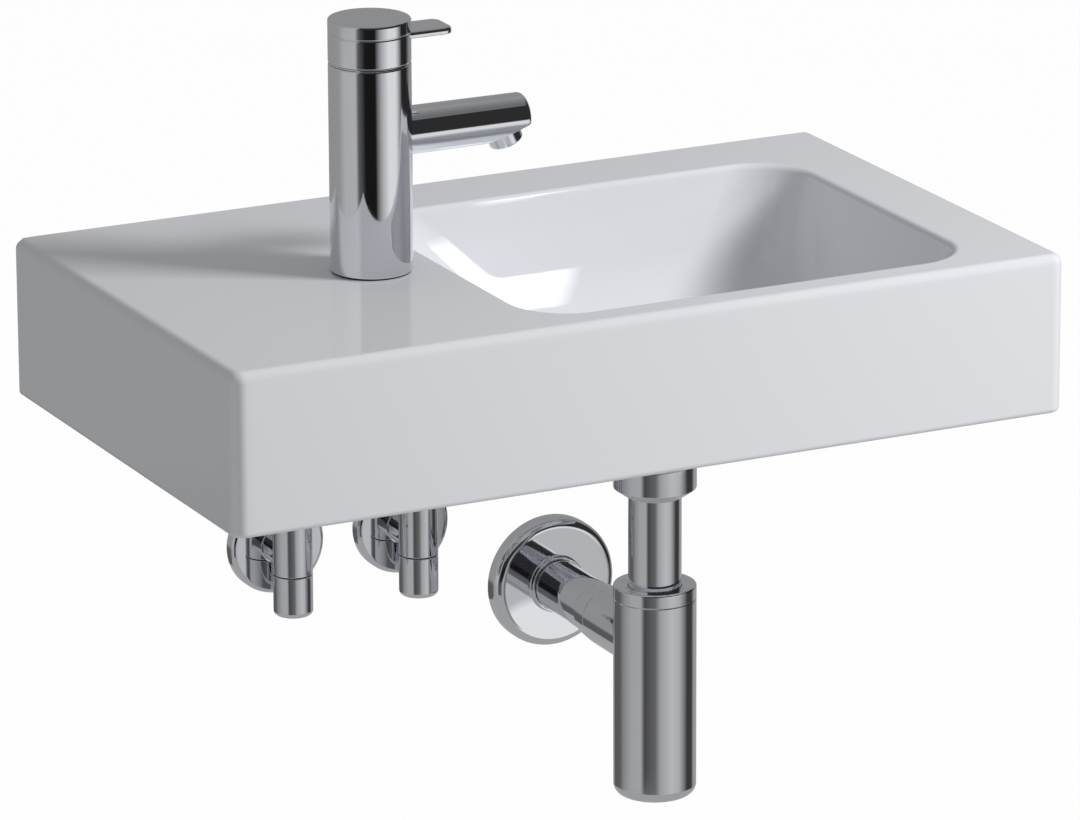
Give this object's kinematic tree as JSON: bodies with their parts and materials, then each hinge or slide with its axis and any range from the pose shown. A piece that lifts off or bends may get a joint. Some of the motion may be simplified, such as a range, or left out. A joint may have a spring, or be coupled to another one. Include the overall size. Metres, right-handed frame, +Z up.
{
  "type": "hand basin",
  "caption": "Wall-hung rectangular hand basin with an offset bowl, single-lever mixer tap, chromed bottle trap and angle stop valves",
  "frame": {"origin": "on the wall plane, midway between the two wall-bolt holes", "axes": "+X to the right as one faces the basin, +Y into the wall, +Z up"},
  "size_m": [0.53, 0.35, 0.505],
  "materials": {
    "glazed_ceramic": "gloss glaze",
    "chrome": "polished",
    "brass": "machined",
    "steel": "machined",
    "copper": "drawn copper",
    "rubber": "matt",
    "disc_ceramic": "lapped",
    "cartridge_plastic": "moulded",
    "plug_plastic": "moulded"
  },
  "bodies": {
    "basin": {"basin_body": "glazed_ceramic", "waste_flange": "chrome", "trap_inlet_nut": "chrome", "trap_dip_tube": "chrome", "trap_cap_ring": "chrome", "trap_body": "chrome", "trap_outlet_nut": "chrome", "trap_wall_tube": "chrome", "trap_rosette": "chrome", "hot_valve_body": "chrome", "hot_valve_rosette": "chrome", "hot_valve_nut": "chrome", "cold_valve_body": "chrome", "cold_valve_rosette": "chrome", "cold_valve_nut": "chrome", "tap_body": "chrome", "tap_spout": "chrome", "aerator_housing": "chrome", "tap_dome": "chrome", "waste_backnut": "brass", "hot_valve_headwork": "brass", "hot_valve_olive": "brass", "cold_valve_headwork": "brass", "cold_valve_olive": "brass", "cartridge_clamp_ring": "brass", "tap_stud": "steel", "tap_clamp_washer": "steel", "tap_clamp_nut": "steel", "hot_supply_tail": "copper", "cold_supply_tail": "copper", "waste_top_seal": "rubber", "waste_bottom_seal": "rubber", "trap_inlet_seal": "rubber", "trap_tube_seal": "rubber", "trap_outlet_seal": "rubber", "hot_valve_seat_seal": "rubber", "cold_valve_seat_seal": "rubber", "tap_base_seal": "rubber", "aerator_seal": "rubber", "tap_clamp_gasket": "rubber", "cartridge_base_seal": "rubber", "ceramic_fixed_disc": "disc_ceramic", "cartridge_housing": "cartridge_plastic", "aerator_insert": "cartridge_plastic"},
    "mixer_driver": {"cartridge_driver": "cartridge_plastic", "cartridge_pin": "steel"},
    "mixer_disc": {"ceramic_moving_disc": "disc_ceramic"},
    "mixer_lever": {"lever_stem": "steel", "handle_cap": "chrome", "handle_grub_screw": "steel", "handle_index_plug": "plug_plastic"},
    "hot_knob": {"hot_valve_knob": "chrome", "hot_valve_spindle": "brass"},
    "cold_knob": {"cold_valve_knob": "chrome", "cold_valve_spindle": "brass"}
  },
  "joints": [
    {"name": "handle_turn", "type": "hinge", "parent": "basin", "child": "mixer_driver", "pos_m": [-0.1075, -0.155, 0.1618], "axis": [0, 0, 1], "range_deg": [-50, 50]},
    {"name": "handle_lift", "type": "hinge", "parent": "mixer_driver", "child": "mixer_lever", "pos_m": [-0.1075, -0.155, 0.1618], "axis": [0, -1, 0], "range_deg": [0, 22]},
    {"name": "disc_slide", "type": "slide", "parent": "mixer_driver", "child": "mixer_disc", "axis": [1, 0, 0], "range_m": [0, 0.002]},
    {"name": "hot_valve_turn", "type": "hinge", "parent": "basin", "child": "hot_knob", "pos_m": [-0.103, -0.029, -0.172], "axis": [0, 0, 1], "range_deg": [0, 90]},
    {"name": "cold_valve_turn", "type": "hinge", "parent": "basin", "child": "cold_knob", "pos_m": [-0.0195, -0.029, -0.172], "axis": [0, 0, 1], "range_deg": [0, 90]}
  ],
  "couplings": [
    {"joint": "disc_slide", "follows": "handle_lift", "m_per_rad": 0.005073}
  ]
}
